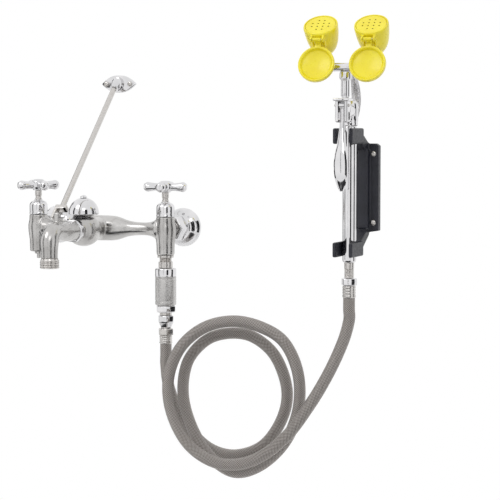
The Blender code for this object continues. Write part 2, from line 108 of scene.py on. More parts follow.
def turned(outline, sides=ROUND, phase=0.0):
    """A solid turned about Z from (radius, height) pairs; an outline off the axis makes a ring."""
    mesh = bmesh.new()
    step = 2.0 * math.pi / sides
    rings = []
    for radius, height in outline:
        angles = [phase + i * step for i in range(sides if radius else 1)]
        rings.append([mesh.verts.new((radius * math.cos(a), radius * math.sin(a), height)) for a in angles])
    pairs = list(zip(rings, rings[1:]))
    if outline[0][0]:
        pairs.append((rings[-1], rings[0]))
    for low, high in pairs:
        for i in range(sides):
            j = (i + 1) % sides
            corners = (low[i % len(low)], low[j % len(low)], high[j % len(high)], high[i % len(high)])
            mesh.faces.new(dict.fromkeys(corners))
    bmesh.ops.recalc_face_normals(mesh, faces=mesh.faces)
    return mesh


def rod(radius, low, high, sides=32, phase=0.0):
    return turned([(0, low), (radius, low), (radius, high), (0, high)], sides, phase)


def arc(radius, height, start, end, count, centre=0.0):
    """(radius, height) pairs on a round stretch, by angles above the horizontal."""
    angles = [math.radians(start + (end - start) * i / count) for i in range(count + 1)]
    return [(centre + radius * math.cos(a), height + radius * math.sin(a)) for a in angles]


def smooth_outline(points, steps=5):
    """More points on a smooth line through an outline's own (radius, height) points."""
    route = [Vector((r, h, 0)) for r, h in points]
    slopes = [(route[min(i + 1, len(route) - 1)] - route[max(i - 1, 0)]) / 6 for i in range(len(route))]
    fine = [points[0]]
    for i in range(len(route) - 1):
        part = interpolate_bezier(route[i], route[i] + slopes[i], route[i + 1] - slopes[i + 1], route[i + 1],
                                  steps + 1)
        fine += [(p.x, p.y) for p in part[1:]]
    return fine


def thread(radius, low, high, pitch=0.0018, depth=0.0009):
    """Outer outline of a thread, from the bottom up."""
    count = max(1, round((high - low) / pitch))
    pitch = (high - low) / count
    outline = []
    for i in range(count):
        base = low + i * pitch
        outline += [(radius - depth, base + 0.1 * pitch), (radius, base + 0.45 * pitch),
                    (radius, base + 0.65 * pitch)]
    return outline + [(radius - depth, high)]


def box(size, centre=(0, 0, 0), bevel=0.0, segments=3):
    mesh = bmesh.new()
    bmesh.ops.create_cube(mesh, size=1.0, matrix=at(*centre) @ Matrix.Diagonal((*size, 1.0)))
    if bevel:
        bmesh.ops.bevel(mesh, geom=mesh.edges, offset=bevel, segments=segments, profile=0.5, affect='EDGES')
    return mesh


def lofted(sections):
    """A closed solid through equal loops of points."""
    mesh = bmesh.new()
    loops = [[mesh.verts.new(point) for point in section] for section in sections]
    for low, high in zip(loops, loops[1:]):
        for i in range(len(low)):
            j = (i + 1) % len(low)
            mesh.faces.new((low[i], low[j], high[j], high[i]))
    mesh.faces.new(loops[0])
    mesh.faces.new(loops[-1])
    bmesh.ops.recalc_face_normals(mesh, faces=mesh.faces)
    return mesh


def swept(points, radii, sides=32, flat=1.0):
    """A round or flattened bar along a path that lies in one plane of constant X."""
    across = Vector((1, 0, 0))
    sections = []
    for i, (point, radius) in enumerate(zip(points, radii)):
        along = (points[min(i + 1, len(points) - 1)] - points[max(i - 1, 0)]).normalized()
        up = along.cross(across).normalized()
        angles = [2 * math.pi * k / sides for k in range(sides)]
        sections.append([point + radius * (math.cos(a) * across + flat * math.sin(a) * up) for a in angles])
    return lofted(sections)


def smooth_line(points, steps):
    """A smooth curve through a route's own points."""
    route = [Vector(p) for p in points]
    slopes = [(route[min(i + 1, len(route) - 1)] - route[max(i - 1, 0)]) / 6 for i in range(len(route))]
    fine = [route[0]]
    for i in range(len(route) - 1):
        fine += interpolate_bezier(route[i], route[i] + slopes[i], route[i + 1] - slopes[i + 1], route[i + 1],
                                   steps + 1)[1:]
    return fine


def smooth_bar(stations, steps=6, sides=32, flat=1.0):
    """A swept bar through (x, y, z, radius) stations."""
    line = smooth_line([s[:3] for s in stations], steps)
    widths = smooth_line([(s[3], 0, 0) for s in stations], steps)
    return swept(line, [w.x for w in widths], sides, flat)


def new_object(name, mesh, place=Matrix()):
    data = bpy.data.meshes.new(name)
    mesh.to_mesh(data)
    mesh.free()
    made = bpy.data.objects.new(name, data)
    bpy.context.scene.collection.objects.link(made)
    data.transform(place)
    return made


def settle(made):
    """Applies an object's modifiers."""
    graph = bpy.context.evaluated_depsgraph_get()
    data = bpy.data.meshes.new_from_object(made.evaluated_get(graph))
    made.modifiers.clear()
    made.data = data


def built(name, solids, cuts=()):
    """Joins (mesh, place) solids into one and cuts others out."""
    base = new_object(name, *solids[0])
    tools = []
    for operation, group in (('UNION', solids[1:]), ('DIFFERENCE', cuts)):
        for mesh, place in group:
            tool = new_object("tool", mesh, place)
            modifier = base.modifiers.new(operation, 'BOOLEAN')
            modifier.operation = operation
            modifier.object = tool
            tools.append(tool)
    if tools:
        settle(base)
    for tool in tools:
        bpy.data.objects.remove(tool)
    return base


def cast(made, voxel, smooth=6):
    """Gives a built solid the soft fillets of a casting or a moulding."""
    remesh = made.modifiers.new("remesh", 'REMESH')
    remesh.mode = 'VOXEL'
    remesh.voxel_size = voxel
    soften = made.modifiers.new("soften", 'SMOOTH')
    soften.factor = 0.5
    soften.iterations = smooth
    settle(made)
    made.data.shade_smooth()
    return made


def eased(made, width=0.0004, segments=2, angle=32):
    """Rounds the crisp edges of a machined piece."""
    bevel = made.modifiers.new("ease", 'BEVEL')
    bevel.width = width
    bevel.segments = segments
    bevel.limit_method = 'ANGLE'
    bevel.angle_limit = math.radians(angle)
    settle(made)
    made.data.shade_smooth()
    made.data.set_sharp_from_angle(angle=math.radians(38))
    return made


def stands_for(made, node, finish):
    """Makes a piece ride with a CAD node's body in that node's place."""
    made.data.materials.clear()
    made.data.materials.append(finish)
    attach(made, BODY_OF[node])
    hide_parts(node)
    return made


def machined(node, mesh, place, finish, width=0.0004):
    """A single turned or bevelled piece in place of its CAD node."""
    return stands_for(eased(new_object(f"{node}_fine", mesh, place), width), node, finish)


# Materials

class Nodes:
    """A short way to write a material's node tree."""

    def __init__(self, name, colour, metallic, roughness):
        self.material = bpy.data.materials.new(name)
        self.material.use_nodes = True
        self.tree = self.material.node_tree
        self.shader = self.tree.nodes["Principled BSDF"]
        self.shader.inputs["Base Color"].default_value = (*colour, 1.0)
        self.shader.inputs["Metallic"].default_value = metallic
        self.shader.inputs["Roughness"].default_value = roughness
        self.place = self.add("ShaderNodeTexCoord").outputs["Object"]

    def add(self, kind, **settings):
        node = self.tree.nodes.new(kind)
        for key, value in settings.items():
            setattr(node, key, value)
        return node

    def link(self, source, target):
        self.tree.links.new(source, target)

    def noise(self, scale, detail=3.0, stretch=(1, 1, 1)):
        mapping = self.add("ShaderNodeMapping")
        mapping.inputs["Scale"].default_value = stretch
        self.link(self.place, mapping.inputs["Vector"])
        made = self.add("ShaderNodeTexNoise")
        made.inputs["Scale"].default_value = scale
        made.inputs["Detail"].default_value = detail
        self.link(mapping.outputs[0], made.inputs["Vector"])
        return made.outputs["Fac"]

    def spread(self, source, low, high, start=0.3, end=0.7):
        """Maps a texture's value to a range."""
        made = self.add("ShaderNodeMapRange")
        for key, value in (("From Min", start), ("From Max", end), ("To Min", low), ("To Max", high)):
            made.inputs[key].default_value = value
        self.link(source, made.inputs["Value"])
        return made.outputs[0]

    def tint(self, source, first, second):
        """A colour between two by a texture's value."""
        made = self.add("ShaderNodeMix", data_type='RGBA')
        made.inputs[6].default_value = (*first, 1.0)
        made.inputs[7].default_value = (*second, 1.0)
        self.link(source, made.inputs[0])
        return made.outputs[2]

    def bump(self, source, depth, strength=1.0, under=None):
        made = self.add("ShaderNodeBump")
        made.inputs["Distance"].default_value = depth
        made.inputs["Strength"].default_value = strength
        self.link(source, made.inputs["Height"])
        if under:
            self.link(under, made.inputs["Normal"])
        return made.outputs[0]

    def colour(self, source):
        self.link(source, self.shader.inputs["Base Color"])

    def rough(self, source):
        self.link(source, self.shader.inputs["Roughness"])

    def normal(self, source):
        self.link(source, self.shader.inputs["Normal"])


def polished_chrome():
    m = Nodes("polished_chrome", (0.84, 0.84, 0.85), 1.0, 0.07)
    smudge = m.noise(55, 4)
    m.colour(m.tint(m.spread(smudge, 0, 1), (0.66, 0.66, 0.67), (0.80, 0.79, 0.80)))
    m.rough(m.spread(smudge, 0.04, 0.13))
    m.normal(m.bump(m.noise(160, 2), 0.00004, 0.4))
    return m.material


def cast_chrome():
    """Rough chrome over a tumbled casting."""
    m = Nodes("cast_chrome", (0.62, 0.61, 0.59), 1.0, 0.30)
    blotch = m.noise(38, 4)
    m.colour(m.tint(m.spread(blotch, 0, 1), (0.42, 0.41, 0.40), (0.60, 0.59, 0.58)))
    m.rough(m.spread(m.noise(90, 3), 0.19, 0.28))
    soft = m.bump(m.noise(120, 3), 0.00022, 0.6)
    m.normal(m.bump(m.noise(700, 2), 0.00003, 0.4, soft))
    return m.material


def rough_casting():
    """The pitted plating of the rear hook."""
    m = Nodes("rough_casting", (0.60, 0.59, 0.60), 1.0, 0.28)
    pits = m.noise(480, 5)
    m.colour(m.tint(m.spread(pits, 0, 1), (0.46, 0.45, 0.46), (0.78, 0.77, 0.77)))
    m.rough(m.spread(pits, 0.42, 0.18))
    m.normal(m.bump(pits, 0.0006, 0.8))
    return m.material


def stainless(name="stainless", stretch=(1, 1, 14)):
    """Brushed stainless steel with fine turning marks."""
    m = Nodes(name, (0.60, 0.58, 0.56), 1.0, 0.24)
    lines = m.noise(260, 3, stretch)
    m.colour(m.tint(m.spread(lines, 0, 1), (0.52, 0.50, 0.48), (0.70, 0.68, 0.66)))
    m.rough(m.spread(lines, 0.16, 0.32))
    m.normal(m.bump(lines, 0.00008, 0.6))
    return m.material


def textured_steel():
    """The fine-knurled sleeve of the check valve."""
    m = Nodes("knurled_steel", (0.60, 0.59, 0.58), 1.0, 0.28)
    grain = m.noise(1500, 2)
    m.colour(m.tint(m.spread(grain, 0, 1), (0.42, 0.41, 0.40), (0.72, 0.71, 0.70)))
    m.rough(m.spread(grain, 0.34, 0.22))
    m.normal(m.bump(grain, 0.00035, 0.8))
    return m.material


def black_plastic():
    m = Nodes("black_plastic", (0.012, 0.013, 0.020), 0.0, 0.45)
    m.colour(m.tint(m.spread(m.noise(45, 4), 0, 1), (0.008, 0.009, 0.015), (0.020, 0.021, 0.032)))
    m.rough(m.spread(m.noise(300, 3), 0.36, 0.52))
    m.normal(m.bump(m.noise(1600, 2), 0.00018, 0.6))
    return m.material


def black_rubber():
    m = Nodes("black_rubber", (0.02, 0.02, 0.02), 0.0, 0.7)
    m.rough(m.spread(m.noise(300, 3), 0.6, 0.8))
    m.normal(m.bump(m.noise(900, 2), 0.0001))
    return m.material


def yellow_plastic():
    m = Nodes("yellow_plastic", (0.86, 0.73, 0.015), 0.0, 0.30)
    m.shader.inputs["Coat Weight"].default_value = 0.25
    m.shader.inputs["Coat Roughness"].default_value = 0.12
    cloud = m.noise(40, 4)
    m.colour(m.tint(m.spread(cloud, 0, 1), (0.84, 0.70, 0.012), (0.90, 0.79, 0.030)))
    m.rough(m.spread(m.noise(260, 3), 0.25, 0.38))
    m.normal(m.bump(m.noise(520, 2), 0.00012, 0.5))
    return m.material


def hole_dark():
    m = Nodes("hole_shadow", (0.10, 0.08, 0.01), 0.0, 0.6)
    m.rough(m.spread(m.noise(300, 3), 0.55, 0.75))
    m.colour(m.tint(m.noise(200), (0.16, 0.12, 0.01), (0.08, 0.06, 0.01)))
    return m.material


STRANDS = 18                 # braid bundles round the hose, each way


def braid():
    """Crossing bundles of fine steel wire, laid along the tube's own coordinates, with painted shade: the
    colour darkens where the weave relief is low, in the gaps between the bundles and the wires.
    """
    m = Nodes("steel_braid", (0.40, 0.37, 0.34), 0.85, 0.38)
    place = m.add("ShaderNodeUVMap", uv_map="hose").outputs[0]
    split = m.add("ShaderNodeSeparateXYZ")
    m.link(place, split.inputs[0])

    def calc(operation, first, second=None):
        made = m.add("ShaderNodeMath", operation=operation)
        for socket, value in zip(made.inputs, (first, second)):
            if isinstance(value, (int, float)):
                socket.default_value = value
            elif value is not None:
                m.link(value, socket)
        return made.outputs[0]

    around = calc('MULTIPLY', split.outputs[0], STRANDS * 2 * math.pi)
    along = calc('MULTIPLY', split.outputs[1], STRANDS * 2 * math.pi)
    right = calc('SINE', calc('MULTIPLY', calc('ADD', around, along), 0.5))
    left = calc('SINE', calc('MULTIPLY', calc('SUBTRACT', around, along), 0.5))
    weave = calc('MULTIPLY', right, left)
    height = calc('ABSOLUTE', weave)
    fine = calc('SINE', calc('MULTIPLY', calc('ADD', around, along), 3.0))
    relief = calc('ADD', calc('MULTIPLY', height, 0.8), calc('MULTIPLY', fine, 0.12))
    # painted shade: the colour is near black where the weave relief is low, in the gaps between bundles and
    # wires, and the steel's own tone on the crests
    m.colour(m.tint(m.spread(relief, 0, 1, 0.0, 0.6), (0.080, 0.068, 0.062), (0.62, 0.58, 0.55)))
    m.rough(m.spread(relief, 0.55, 0.28, 0.0, 0.8))
    m.normal(m.bump(relief, 0.0007, 0.9))
    return m.material


CHROME = polished_chrome()
CAST = cast_chrome()
ROUGH = rough_casting()
STEEL = stainless()
KNURL = textured_steel()
BLACK = black_plastic()
RUBBER = black_rubber()
YELLOW = yellow_plastic()
SHADOW = hole_dark()
BRAID = braid()


# Camera, floor and light

def stage():
    """A plain pale floor, white surroundings with dark strips for the chrome, and soft light."""
    scene = bpy.context.scene
    scene.view_settings.view_transform = 'Standard'
    world = bpy.data.worlds.new("studio")
    world.use_nodes = True
    world.node_tree.nodes["Background"].inputs[0].default_value = (1.0, 1.0, 1.0, 1.0)
    world.node_tree.nodes["Background"].inputs[1].default_value = 1.0
    scene.world = world

    floor = new_object("floor", box((6, 6, 0.02), (0, 0, FLOOR_Z)))
    pale = Nodes("pale_floor", (0.98, 0.98, 0.98), 0.0, 0.8)
    pale.rough(pale.spread(pale.noise(3), 0.75, 0.85))
    floor.data.materials.append(pale.material)

    dark = Nodes("dark_card", (0.010, 0.010, 0.012), 0.0, 0.9)
    dark.rough(dark.spread(dark.noise(3), 0.85, 0.95))
    cards = (((-1.9, -1.5, 0.2), (0.55, 0.02, 2.4), -52), ((2.1, -2.1, 0.2), (1.00, 0.02, 2.4), 42),
             ((0.1, -3.4, 0.2), (0.14, 0.02, 2.4), 2), ((0.3, -1.1, -0.9), (2.2, 0.9, 0.02), 0),
             ((2.6, 0.5, 0.1), (0.90, 0.02, 2.6), 100), ((-2.2, 1.0, 0.1), (0.80, 0.02, 2.6), -110))
    for i, (spot, size, spin) in enumerate(cards):
        card = new_object(f"dark_card_{i}", box(size), at(*spot) @ turn('Z', spin))
        card.data.materials.append(dark.material)
        card.visible_camera = False
        card.visible_shadow = False

    target = Vector((0.2, -0.05, 0.0))
    for name, spot, power, size in (("key", (-1.2, -2.2, 2.2), 14, 1.4), ("fill", (1.4, -2.6, 1.6), 6, 1.0)):
        data = bpy.data.lights.new(name, 'AREA')
        data.energy = power
        data.size = size
        light = bpy.data.objects.new(name, data)
        light.location = spot
        light.rotation_euler = (target - Vector(spot)).to_track_quat('-Z', 'Y').to_euler()
        scene.collection.objects.link(light)


def camera():
    """The long lens, to the right of the front and a little above."""
    azimuth, elevation, distance = math.radians(23.0), math.radians(4.0), 2.5
    target = Vector((0.2303, -0.060, -0.0255))
    back = Vector((math.sin(azimuth) * math.cos(elevation), -math.cos(azimuth) * math.cos(elevation),
                   math.sin(elevation)))
    data = bpy.data.cameras.new("camera")
    data.lens = 130.8
    data.clip_end = 50.0
    made = bpy.data.objects.new("camera", data)
    made.location = target + distance * back
    made.rotation_euler = back.to_track_quat('Z', 'Y').to_euler()
    bpy.context.scene.collection.objects.link(made)
    bpy.context.scene.camera = made


# Hose

HOSE_RADIUS = 0.008
HOSE_ROUTE = [
    (0.1016, -0.060, -0.1613), (0.1016, -0.060, -0.176), (0.1016, -0.060, -0.192), (0.107, -0.060, -0.225),
    (0.128, -0.060, -0.268),
    (0.165, -0.061, -0.303), (0.207, -0.062, -0.312), (0.250, -0.062, -0.296), (0.279, -0.063, -0.257),
    (0.287, -0.064, -0.215), (0.270, -0.065, -0.170), (0.238, -0.066, -0.145), (0.203, -0.068, -0.141),
    (0.169, -0.071, -0.152), (0.143, -0.075, -0.182), (0.137, -0.079, -0.225), (0.150, -0.083, -0.268),
    (0.177, -0.085, -0.308), (0.215, -0.084, -0.331), (0.254, -0.082, -0.320), (0.290, -0.081, -0.286),
    (0.310, -0.081, -0.240), (0.310, -0.081, -0.190), (0.290, -0.082, -0.148), (0.255, -0.084, -0.128),
    (0.214, -0.086, -0.122), (0.173, -0.090, -0.133), (0.140, -0.095, -0.162), (0.124, -0.099, -0.205),
    (0.131, -0.103, -0.252), (0.160, -0.107, -0.295), (0.206, -0.109, -0.316), (0.255, -0.108, -0.308),
    (0.299, -0.105, -0.276), (0.332, -0.100, -0.232), (0.355, -0.086, -0.188), (0.370, -0.070, -0.146),
    (0.376, -0.062, -0.117), (0.376, -0.062, -0.101), (0.376, -0.062, -0.0863)]


def hose():
    """The braided hose as a tube with coordinates that run round and along it."""
    line = smooth_line(HOSE_ROUTE, 10)
    sides = 24
    mesh = bmesh.new()
    layer = mesh.loops.layers.uv.new("hose")
    across = Vector((1, 0, 0))
    rings, walked, reached = [], [], 0.0
    for i, point in enumerate(line):
        along = (line[min(i + 1, len(line) - 1)] - line[max(i - 1, 0)]).normalized()
        across = (across - along * across.dot(along)).normalized()
        up = along.cross(across)
        reached += (point - line[i - 1]).length if i else 0.0
        walked.append(reached / (2 * math.pi * HOSE_RADIUS))
        angles = [2 * math.pi * k / sides for k in range(sides)]
        rings.append([mesh.verts.new(point + HOSE_RADIUS * (math.cos(a) * across + math.sin(a) * up))
                      for a in angles])
    for i in range(len(line) - 1):
        for k in range(sides):
            n = (k + 1) % sides
            face = mesh.faces.new((rings[i][k], rings[i][n], rings[i + 1][n], rings[i + 1][k]))
            spots = ((k, i), (k + 1, i), (k + 1, i + 1), (k, i + 1))
            for loop, (turns, step) in zip(face.loops, spots):
                loop[layer].uv = (turns / sides, walked[step])
    mesh.faces.new(reversed(rings[0]))
    mesh.faces.new(rings[-1])
    bmesh.ops.recalc_face_normals(mesh, faces=mesh.faces)
    made = new_object("braided_hose", mesh)
    made.data.shade_smooth()
    made.data.set_sharp_from_angle(angle=math.radians(50))
    stands_for(made, "supply_hose", BRAID)
    ends = [ferrule("faucet_end_ferrule", Matrix(), INLET_X, VALVE_Y),
            ferrule("handset_end_ferrule", Matrix(), TUBE.x, TUBE.y)]


def ferrule(node, place, x, y):
    """A crimped sleeve with shallow pressed grooves."""
    low, high = lowest(node), highest(node)
    tall = high - low
    outline = [(0, low), (0.0084, low), (0.0090, low + 0.08 * tall)]
    for step in range(1, 4):
        level = low + tall * (0.10 + 0.22 * step)
        outline += [(0.0091, level - 0.0016), (0.0087, level - 0.0008), (0.0087, level + 0.0004),
                    (0.0091, level + 0.0012)]
    outline += [(0.0088, high - 0.0006), (0.0080, high), (0, high)]
    return machined(node, turned(outline), place @ at(x, y), STEEL, 0.0002)


# Faucet

def faucet_body():
    half = [(0.0150, 0.090), (0.0103, 0.080), (0.0090, 0.066), (0.0110, 0.045), (0.0170, 0.024),
            (0.0180, 0.0)]
    right = smooth_outline(half[::-1], 6)
    arms = [(0, -0.098), (0.012, -0.098)] + [(r, -h) for r, h in right[::-1]] + right[1:]
    place = at(0, VALVE_Y)
    barrel = [(0, -0.036), (0.0123, -0.036), (0.0127, -0.034), (0.0130, -0.020), (0.0148, -0.006),
              (0.0150, 0.002), (0.0134, 0.010), (0.0131, 0.0174), (0, 0.0174)]
    reach = VALVE_Y - GLOBE_Y
    neck = [(0, 0), (0.016, 0.001), (0.0158, 0.026)]
    neck += smooth_outline([(0.0165, 0.030), (0.0215, 0.041), (0.0230, reach), (0.0208, 0.064),
                            (0.0140, 0.0735)], 5)
    neck += [(0.0132, 0.078), (0, 0.078)]
    collar = [(0, 0.0), (0.0150, 0.002), (0.0150, 0.0195), (0.0143, 0.0237), (0, 0.0237)]
    solids = [(turned(arms + [(0.012, 0.098), (0, 0.098)]), place @ SIDEWAYS),
              (turned(neck), place @ FORWARD),
              (turned(collar), at(0, GLOBE_Y)), (rod(0.0034, 0.0180, DOME_SEAT + 0.0077), at(0, GLOBE_Y))]
    for x in (-INLET_X, INLET_X):
        solids.append((turned(barrel), at(x, VALVE_Y)))
        solids.append((rod(0.0111, -0.0163, 0.0), at(x, VALVE_Y) @ FORWARD))
    stands_for(cast(built("faucet_body_fine", solids), 0.0010, 8), "faucet_body", CAST)


def vacuum_breaker():
    place = at(0, GLOBE_Y, DOME_SEAT)
    crown = arc(0.0213, -0.0003, 0, 78, 14)
    dome = [(0.0203, -0.0025), (0.0213, -0.0015)] + crown + [(0.0036, 0.0208), (0.0036, 0.0180)]
    dome += arc(0.0195, -0.0025, 75, 4, 12)
    machined("vacuum_breaker_dome", turned(dome), place, CHROME, 0.0002)
    screw = [(0, 0.0080), (0.0032, 0.0080), (0.0032, 0.0210), (0.0054, 0.0210)] + arc(0.0056, 0.0190, 32,
                                                                                      80, 6)
    machined("dome_screw", turned(screw[:-1] + [(0, 0.0245)]), place, CHROME, 0.0001)
    floater = [(0.011, 0.0008), (0.011, 0.0033), (0.005, 0.0033), (0.005, 0.0008)]
    machined("vacuum_breaker_float", turned(floater), place, RUBBER, 0.0002)


def spout():
    place = at(0, VALVE_Y) @ FORWARD
    machined("spout_coupling_ring", rod(0.0162, 0.0783, 0.0870, 8, math.pi / 8), place, CHROME, 0.0012)
    start = VALVE_Y - 0.0873
    bend = 0.016
    stations = [(0, start, 0, 0.0138), (0, start - 0.004, 0, 0.0136), (0, start - 0.020, 0, 0.0130),
                (0, OUTLET_Y + bend + 0.012, 0.001, 0.0120)]
    stations += [(0, OUTLET_Y + bend - bend * math.sin(a), 0.002 - bend + bend * math.cos(a), 0.0126)
                 for a in (math.radians(d) for d in (10, 35, 60, 85))]
    stations += [(0, OUTLET_Y, OUTLET_Z + 0.011, 0.0116), (0, OUTLET_Y, OUTLET_Z + 0.003, 0.0113),
                 (0, OUTLET_Y, OUTLET_Z, 0.0113)]
    lug_y = OUTLET_Y + 0.025
    solids = [(smooth_bar(stations, 4, 48), Matrix()), (box((0.008, 0.014, 0.022), (0, lug_y, 0.0165),
                                                            0.0020), Matrix())]
    cuts = [(rod(0.0077, -0.010, 0.025), at(0, OUTLET_Y, OUTLET_Z)),
            (rod(0.0026, -0.02, 0.02), at(0, lug_y, 0.022) @ SIDEWAYS)]
    stands_for(cast(built("spout_fine", solids, cuts), 0.0007, 5), "spout", CAST)
    nipple = [(0.0105, -0.0143)] + thread(0.0133, -0.0143, -0.0028, 0.0022, 0.0011)
    nipple += [(0.0118, -0.0013), (0.0116, -0.0003), (0.0075, -0.0003)]
    machined("outlet_nipple", turned(nipple), at(0, OUTLET_Y, OUTLET_Z), STEEL, 0.0001)


def brace():
    pin = middle("brace_pin")
    head = Vector((0, -0.0185, BRACE_Z - 0.0075))
    along = (head - pin).normalized()
    place = Matrix.Translation(pin) @ Matrix((Vector((1, 0, 0)), along.cross(Vector((1, 0, 0))),
                                              along)).transposed().to_4x4()
    length = (head - pin).length
    bar = [(0, 0.012), (0.0038, 0.012), (0.0038, length - 0.0006), (0.0033, length), (0, length)]
    solids = [(turned(bar, 32), place), (box((0.0175, 0.0100, 0.0070), (0, 0, 0.0145), 0.0015), place)]
    for side in (-1, 1):
        solids.append((box((0.0040, 0.0098, 0.0190), (side * 0.0065, 0, 0.0045), 0.0014), place))
    rod_fine = built("brace_rod_fine", solids, [(rod(0.0026, -0.02, 0.02), place @ SIDEWAYS)])
    stands_for(eased(rod_fine, 0.0002), "brace_rod", STEEL)
    button = [(0, -0.0110), (0.0014, -0.0108), (0.0023, -0.0100), (0.0023, 0.0100), (0.0014, 0.0108),
              (0, 0.0110)]
    machined("brace_pin", turned(button, 32), Matrix.Translation(pin) @ SIDEWAYS, CHROME, 0.0001)
    rim = [2 * math.pi * i / 72 for i in range(72)]
    outline = [(0.0275 * math.cos(a) * (1 - 0.18 * abs(math.sin(2 * a))), 0.0125 * math.sin(a)) for a in rim]
    levels = ((0.0, 1.0), (0.0030, 1.0), (0.0040, 0.975), (0.0045, 0.93))
    flange = lofted([[Vector((x * k, y * k, z)) for x, y in outline] for z, k in levels])
    wall = at(0, 0, BRACE_Z) @ FORWARD
    boss = smooth_outline([(0.0115, 0.002), (0.0095, 0.005), (0.0082, 0.0105)], 4)
    solids = [(flange, wall), (turned([(0, 0.001)] + boss + [(0.006, 0.0125), (0, 0.0128)], 48), wall),
              (turned([(0, length + 0.0003), (0.0054, length + 0.0003), (0.0062, length + 0.0012),
                       (0.0062, length + 0.016), (0, length + 0.016)], 48), place)]
    stands_for(eased(built("brace_flange_fine", solids), 0.0003), "brace_flange", CHROME)
    for node in ("brace_screw_left", "brace_screw_right"):
        screw_head(node, 0.0038, 0.0048)


def screw_head(node, radius, base):
    """A domed screw with a cross recess, facing away from the wall."""
    spot = middle(node)
    place = at(spot.x, 0, spot.z) @ FORWARD
    dome = [(0, base), (radius, base)] + [(radius * math.cos(a), base + 0.0008 + 0.0019 * math.sin(a))
                                          for a in (math.radians(d) for d in range(0, 80, 13))]
    solids = [(turned(dome + [(0, base + 0.0027)], 32), place)]
    cuts = [(box((radius * 1.1, radius * 0.22, 0.003), (0, 0, base + 0.0030)), place @ turn('Z', spin))
            for spin in (20, 110)]
    made = built(f"{node}_fine", solids, cuts)
    made.data.shade_smooth()
    made.data.set_sharp_from_angle(angle=math.radians(38))
    stands_for(made, node, STEEL)


def inlets():
    for side, x in (("left", -INLET_X), ("right", INLET_X)):
        place = at(x) @ FORWARD
        bell = [(0.0113, 0.0), (0.0275, 0.0), (0.0275, 0.0020)] + smooth_outline(
            [(0.0268, 0.0040), (0.0235, 0.0095), (0.0180, 0.0135), (0.0160, 0.0165), (0.0155, 0.0190)], 5)
        machined(f"{side}_escutcheon", turned(bell + [(0.0150, 0.0200), (0.0113, 0.0200)]), place, CHROME,
                 0.0002)
        shank = [(0.0080, 0.0)] + [(0.0108, 0.0), (0.0108, 0.0200)] + thread(0.0108, 0.0205, 0.0415,
                                                                             0.0018, 0.0008)
        machined(f"{side}_inlet_shank", turned(shank + [(0.0080, 0.0415)]), place, STEEL, 0.0001)
        nut = [(0.0128, 0.0220), (0.0182, 0.0220), (0.0190, 0.0232), (0.0190, 0.0330), (0.0170, 0.0415),
               (0.0128, 0.0415)]
        machined(f"{side}_union_nut", turned(nut, 6), place, CHROME, 0.0010)


def valve_tops():
    for side, x, spin in (("left", -INLET_X, 47), ("right", INLET_X, 7)):
        place = at(x, VALVE_Y)
        bonnet = [(0.0053, 0.0177), (0.0130, 0.0177), (0.0132, 0.0190), (0.0130, 0.0205), (0.0127, 0.0212),
                  (0.0130, 0.0220), (0.0130, 0.0300)]
        bonnet += arc(0.0075, 0.0300, 5, 80, 8, 0.0055) + [(0.0062, 0.0385), (0.0053, 0.0388)]
        machined(f"{side}_bonnet", turned(bonnet), place, CHROME, 0.0002)
        stem = [(0, 0.018), (0.0049, 0.018), (0.0049, 0.0405), (0.0042, 0.0412), (0.0042, 0.0440),
                (0.0049, 0.0447), (0.0049, 0.0517), (0, 0.0517)]
        machined(f"{side}_stem", turned(stem, 40), place, STEEL, 0.0002)
        top = at(x, VALVE_Y, HANDLE_Z) @ turn('Z', spin)
        hub = [(0, 0.0), (0.0070, 0.0)] + smooth_outline([(0.0078, 0.0006), (0.0098, 0.0045),
                                                          (0.0104, 0.0095),
                                                         (0.0094, 0.0135), (0.0060, 0.0160)], 4)
        solids = [(turned(hub + [(0, 0.0165)]), top)]
        arm = smooth_outline([(0.0056, 0.001), (0.0053, 0.012), (0.0062, 0.021), (0.0070, 0.0262),
                              (0.0045, 0.0305)], 5)
        for quarter in range(4):
            solids.append((turned([(0, 0)] + arm + [(0, 0.0312)], 40),
                           top @ at(0, 0, 0.0075) @ turn('Z', 90 * quarter + 3) @ SIDEWAYS))
        stands_for(cast(built(f"{side}_handle_fine", solids), 0.00045, 5), f"{side}_handle", CHROME)
    plug = [(0, -0.046), (0.0024, -0.046), (0.0030, -0.0454), (0.0030, -0.0402), (0.006, -0.0392),
            (0.006, -0.0363), (0, -0.0363)]
    machined("left_drain_plug", turned(plug), at(-INLET_X, VALVE_Y), CAST, 0.0003)


